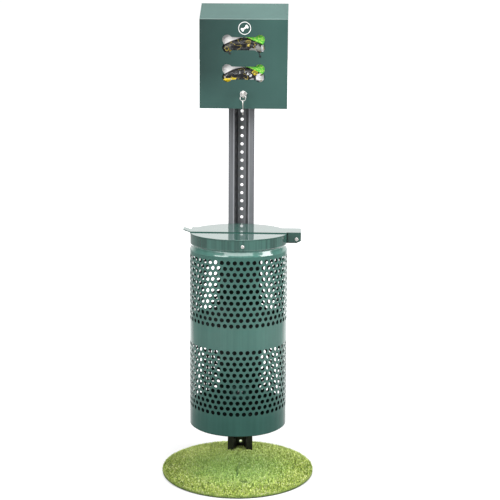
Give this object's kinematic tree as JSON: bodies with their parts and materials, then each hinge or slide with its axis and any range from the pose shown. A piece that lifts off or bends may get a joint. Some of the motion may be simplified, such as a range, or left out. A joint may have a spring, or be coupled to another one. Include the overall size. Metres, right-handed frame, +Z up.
{
  "type": "dog waste bin",
  "caption": "Post-mounted dog waste station: round perforated steel can with a hinged flat lid, and a locked bag dispenser box with bone-shaped slots above it.",
  "frame": {"origin": "on the ground at the can's axis, which is the centre of the turf disc", "axes": "+X to the right seen from the front, +Y to the rear (the post's side), +Z up"},
  "size_m": [0.4619, 0.462, 1.4185],
  "materials": {
    "green_paint": "satin powder coat",
    "post_paint": "semi-gloss dark paint",
    "base_paint": "matte black paint",
    "zinc": "zinc plated",
    "lock_chrome": "polished",
    "key_nickel": "nickel plated",
    "turf": "artificial grass pile",
    "bag_film": "glossy thin film",
    "card": "coated card",
    "white_vinyl": "smooth vinyl"
  },
  "bodies": {
    "stand": {"base_plate": "base_paint", "turf_mat": "turf", "post": "post_paint", "can_wall_lower": "green_paint", "can_wall_upper": "green_paint", "can_collar": "green_paint", "can_floor": "green_paint", "can_saddles": "green_paint", "can_backing_plates": "green_paint", "can_bolts": "zinc", "can_spacers": "zinc", "can_washers": "zinc", "can_nuts": "zinc", "collar_rivet": "zinc", "hinge_bracket": "green_paint", "hinge_bolt": "zinc", "hinge_washer": "zinc", "hinge_nut": "zinc", "dispenser_case": "green_paint", "case_bolts": "zinc", "case_spacers": "zinc", "case_washers": "zinc", "case_nuts": "zinc", "hinge_leaf_back": "zinc", "cover_hinge_pin": "zinc", "bag_pins": "zinc", "lock_strike": "green_paint", "header_card_upper": "card", "bag_pack_upper": "bag_film", "header_card_lower": "card", "bag_pack_lower": "bag_film"},
    "lid": {"lid_plate": "green_paint", "lid_strap": "green_paint"},
    "cover": {"dispenser_cover": "green_paint", "hinge_leaf_cover": "zinc", "front_emblem": "white_vinyl", "lock_body": "lock_chrome", "lock_nut": "zinc"},
    "lock_core": {"lock_plug": "lock_chrome", "lock_cam": "zinc", "cam_screw": "zinc", "lock_key": "key_nickel"},
    "ring": {"key_ring": "lock_chrome"},
    "loose_key": {"spare_key": "key_nickel"}
  },
  "joints": [
    {"name": "lid_hinge", "type": "hinge", "parent": "stand", "child": "lid", "pos_m": [0.173, 0.017, 0.7325], "axis": [0, 1, 0], "range_deg": [0, 105]},
    {"name": "cover_hinge", "type": "hinge", "parent": "stand", "child": "cover", "pos_m": [0.009, 0.1422, 1.4111], "axis": [-1, 0, 0], "range_deg": [0, 90]},
    {"name": "key_turn", "type": "hinge", "parent": "cover", "child": "lock_core", "pos_m": [0.009, 0.061, 1.153], "axis": [0, 1, 0], "range_deg": [0, 90]},
    {"name": "ring_swing", "type": "hinge", "parent": "lock_core", "child": "ring", "pos_m": [0.009, 0.037, 1.1512], "axis": [-1, 0, 0], "range_deg": [-10, 45]},
    {"name": "spare_key_swing", "type": "hinge", "parent": "ring", "child": "loose_key", "pos_m": [0.009, 0.037, 1.1342], "axis": [-1, 0, 0], "range_deg": [-8, 45]}
  ]
}
